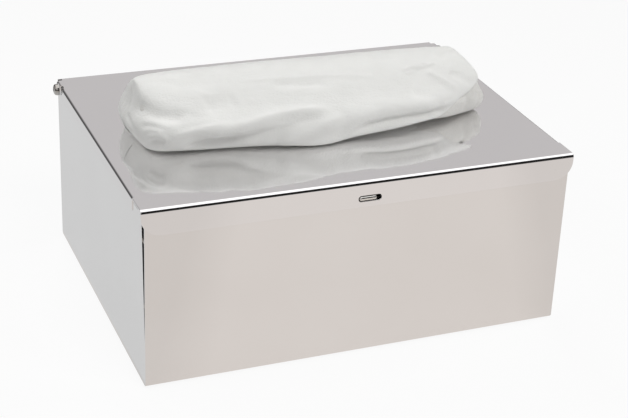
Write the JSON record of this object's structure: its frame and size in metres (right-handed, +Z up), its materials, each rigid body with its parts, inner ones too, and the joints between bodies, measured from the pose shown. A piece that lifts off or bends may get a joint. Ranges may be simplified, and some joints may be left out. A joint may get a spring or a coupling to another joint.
{
  "type": "tissue dispenser box",
  "caption": "Free-standing polished steel box with a hinged lid, a push catch at the front and a long slot from which folded tissues are pulled.",
  "frame": {"origin": "on the table, under the middle of the box", "axes": "+Z up, +X to the right as seen from the front, +Y towards the hinged rear; the catch faces -Y"},
  "size_m": [0.312, 0.232, 0.1703],
  "materials": {
    "sheet_steel": "mirror-polished stainless sheet",
    "lid_steel": "mirror-polished stainless sheet",
    "screw_steel": "polished stainless",
    "spring_steel": "bright spring steel",
    "bracket_steel": "plain rolled steel",
    "weld_metal": "rough weld",
    "foot_rubber": "matt",
    "tissue_paper": "soft white tissue"
  },
  "bodies": {
    "base": {"body_wrap": "sheet_steel", "left_side_panel": "sheet_steel", "right_side_panel": "sheet_steel", "left_seam_welds": "weld_metal", "right_seam_welds": "weld_metal", "hinge_screw_left": "screw_steel", "hinge_screw_right": "screw_steel", "hinge_spacer_left": "bracket_steel", "hinge_spacer_right": "bracket_steel", "hinge_boss_left": "bracket_steel", "hinge_boss_right": "bracket_steel", "catch_pocket": "bracket_steel", "foot_front_left": "foot_rubber", "foot_front_right": "foot_rubber", "foot_rear_left": "foot_rubber", "foot_rear_right": "foot_rubber", "tissue_stack": "tissue_paper"},
    "lid": {"lid": "lid_steel"},
    "catch": {"catch_spring": "spring_steel"},
    "tissue": {"top_tissue": "tissue_paper"}
  },
  "joints": [
    {"name": "lid_hinge", "type": "hinge", "parent": "base", "child": "lid", "pos_m": [0, 0.1023, 0.125], "axis": [-1, 0, 0], "range_deg": [0, 105]},
    {"name": "catch_press", "type": "hinge", "parent": "base", "child": "catch", "pos_m": [0.0001, -0.11345, 0.0837], "axis": [-1, 0, 0], "range_deg": [0, 5.5], "stiffness_Nm_per_rad": 2.4},
    {"name": "tissue_pull", "type": "slide", "parent": "lid", "child": "tissue", "axis": [0, 0, 1], "range_m": [0, 0.05]}
  ]
}
